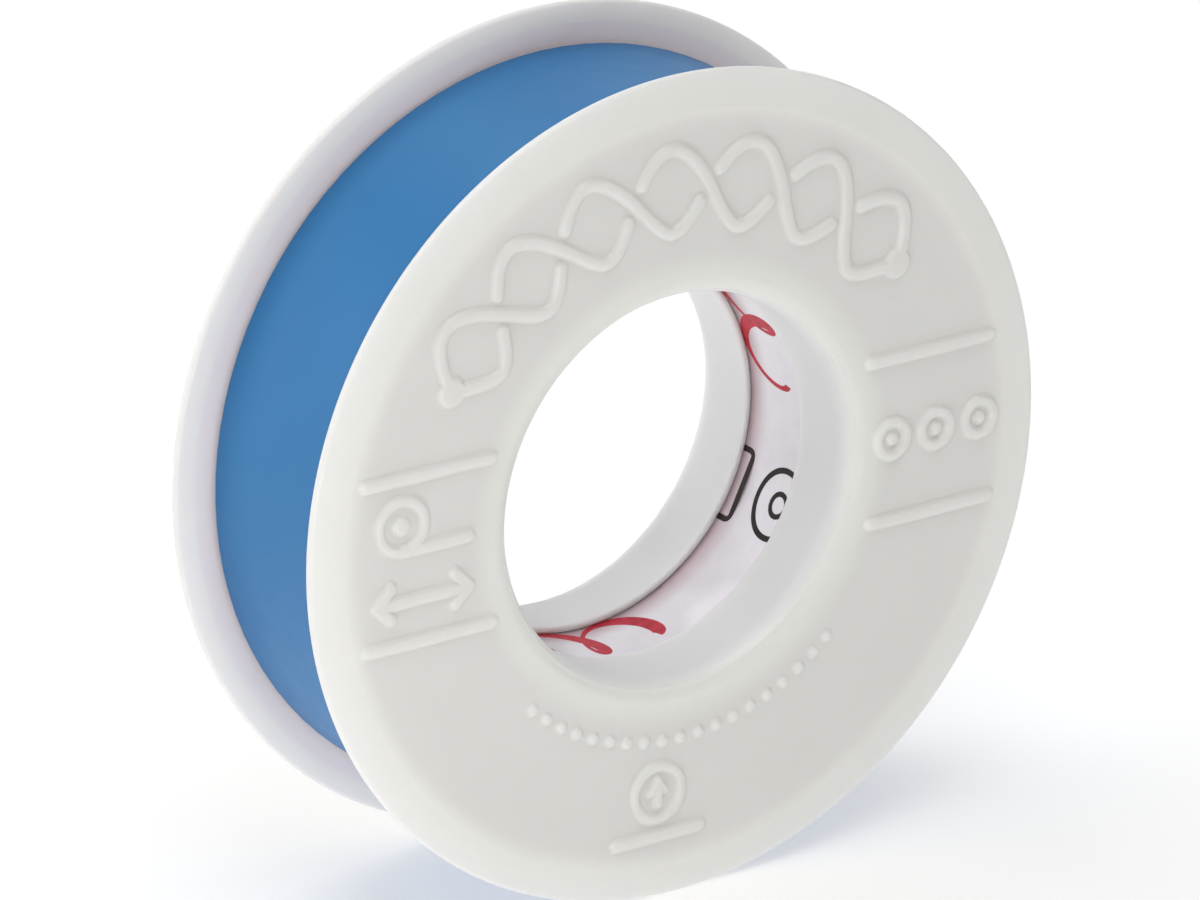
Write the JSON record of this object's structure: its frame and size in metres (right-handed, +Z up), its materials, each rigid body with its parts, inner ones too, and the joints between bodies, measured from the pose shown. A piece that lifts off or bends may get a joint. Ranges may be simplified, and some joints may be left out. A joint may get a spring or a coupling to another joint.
{
  "type": "electrical tape roll",
  "caption": "Roll of blue PVC insulating tape on a cardboard core, between two white moulded side discs whose collars guide it.",
  "frame": {"origin": "centre of the bore, midway between the two discs", "axes": "+Y along the bore from the front disc to the rear disc, +Z up with the roll standing on its rims"},
  "size_m": [0.058, 0.0186, 0.058],
  "materials": {
    "disc_plastic": "satin milky white polypropylene",
    "core_card": "plain wound card",
    "liner_paper": "coated white paper with red and black print",
    "tape_film": "smooth blue soft PVC film"
  },
  "bodies": {
    "rear_disc": {"rear_disc": "disc_plastic"},
    "front_disc": {"front_disc": "disc_plastic"},
    "tape_roll": {"core_tube": "core_card", "printed_liner": "liner_paper", "tape_winding": "tape_film"},
    "tape_free_end": {"tape_free_end": "tape_film"}
  },
  "joints": [
    {"name": "roll_spin", "type": "hinge", "parent": "rear_disc", "child": "tape_roll", "pos_m": [0, 0, 0], "axis": [0, 1, 0], "continuous": true},
    {"name": "front_disc_pull", "type": "slide", "parent": "rear_disc", "child": "front_disc", "axis": [0, -1, 0], "range_m": [0, 0.02]},
    {"name": "tape_end_peel", "type": "hinge", "parent": "tape_roll", "child": "tape_free_end", "pos_m": [0.02548, 0, -0.00662], "axis": [0, 1, 0], "range_deg": [0, 110]}
  ]
}
